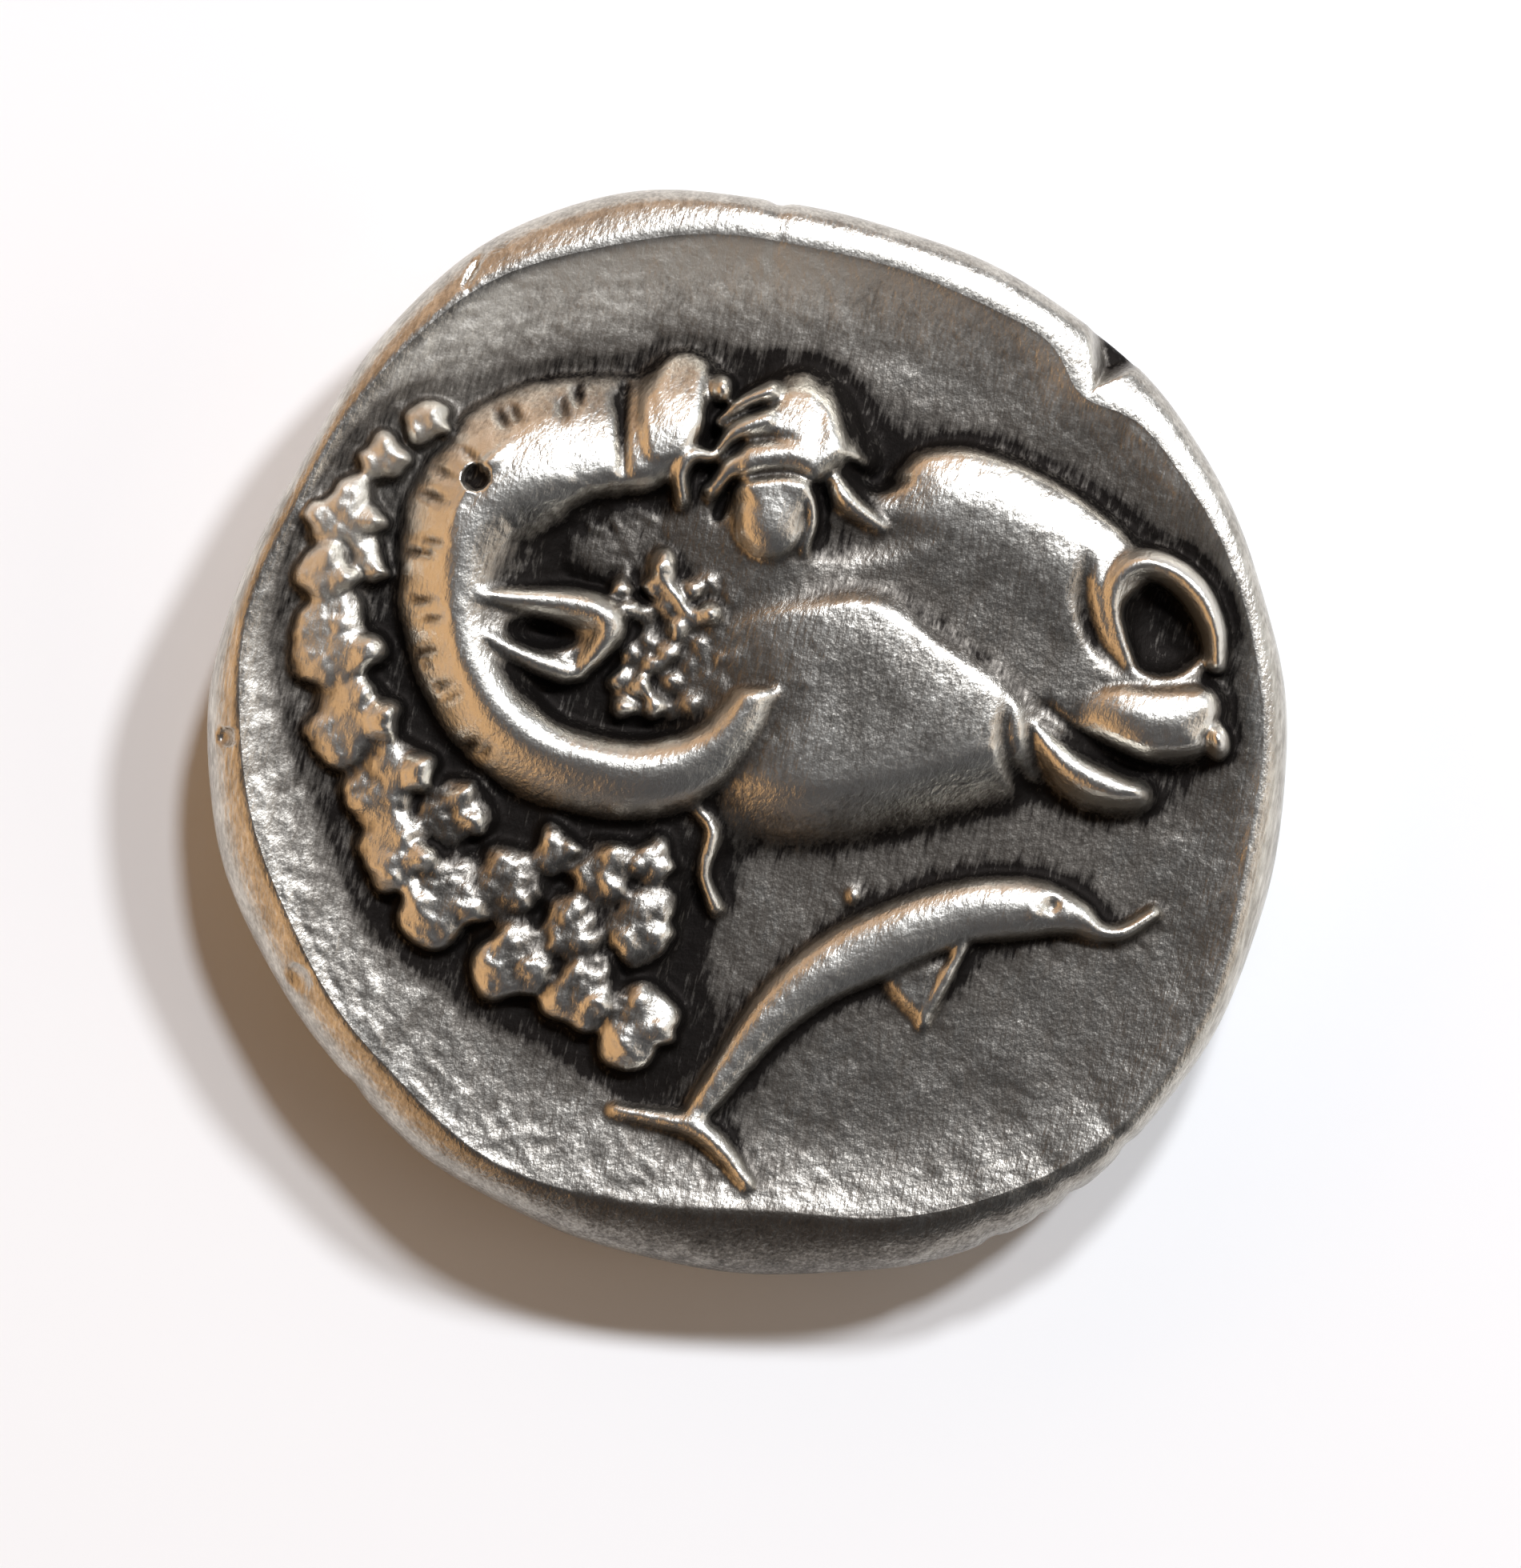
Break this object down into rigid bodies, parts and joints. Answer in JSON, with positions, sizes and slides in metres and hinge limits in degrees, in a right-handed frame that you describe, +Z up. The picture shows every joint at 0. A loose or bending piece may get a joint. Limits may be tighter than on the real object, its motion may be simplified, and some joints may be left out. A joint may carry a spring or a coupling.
{
  "type": "stater coin",
  "caption": "Struck silver coin: ram's head above a leaping dolphin in high relief, an uneven raised lip, and a quartered square punched into the back.",
  "frame": {"origin": "under the middle of the coin, on the surface that it lies on", "axes": "+Z up through the thickness, out of the picture side; +X the way that the ram looks; +Y towards the top of the picture"},
  "size_m": [0.021, 0.0212, 0.0045],
  "materials": {
    "silver": "worn struck silver, bright on the high points and toned dark in the recesses"
  },
  "bodies": {
    "root": {"coin": "silver"}
  },
  "joints": []
}
